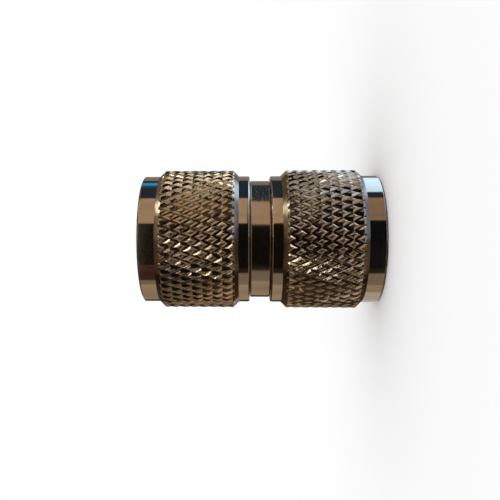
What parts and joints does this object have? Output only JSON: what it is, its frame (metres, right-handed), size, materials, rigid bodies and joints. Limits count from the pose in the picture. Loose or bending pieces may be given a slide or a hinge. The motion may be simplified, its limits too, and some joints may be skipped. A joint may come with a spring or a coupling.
{
  "type": "uhf coaxial coupler",
  "caption": "Straight double-ended UHF coaxial coupler: knurled coupling nuts spin on a turned barrel and a through contact ends in a pin at each threaded mouth.",
  "frame": {"origin": "centre of the lower nut's mouth, on the plane of its rim", "axes": "+Z along the coupler's axis, from the lower mouth to the upper one"},
  "size_m": [0.019, 0.019, 0.032],
  "materials": {
    "nickel_plate": "bright nickel plate on turned brass",
    "spring_bronze": "plain phosphor bronze",
    "ptfe": "turned white PTFE",
    "silver_plate": "silver plate on turned brass"
  },
  "bodies": {
    "barrel": {"barrel": "nickel_plate", "insulator_lower": "ptfe", "insulator_upper": "ptfe", "centre_contact": "silver_plate"},
    "ring_lower": {"retaining_ring_lower": "spring_bronze"},
    "nut_lower": {"coupling_nut_lower": "nickel_plate"},
    "ring_upper": {"retaining_ring_upper": "spring_bronze"},
    "nut_upper": {"coupling_nut_upper": "nickel_plate"}
  },
  "joints": [
    {"name": "nut_lower_float", "type": "slide", "parent": "barrel", "child": "ring_lower", "axis": [0, 0, -1], "range_m": [0, 0.0008]},
    {"name": "nut_lower_spin", "type": "hinge", "parent": "ring_lower", "child": "nut_lower", "pos_m": [0, 0, 0.0073], "axis": [0, 0, -1], "continuous": true},
    {"name": "nut_upper_float", "type": "slide", "parent": "barrel", "child": "ring_upper", "axis": [0, 0, 1], "range_m": [0, 0.0008]},
    {"name": "nut_upper_spin", "type": "hinge", "parent": "ring_upper", "child": "nut_upper", "pos_m": [0, 0, 0.0247], "axis": [0, 0, 1], "continuous": true}
  ]
}
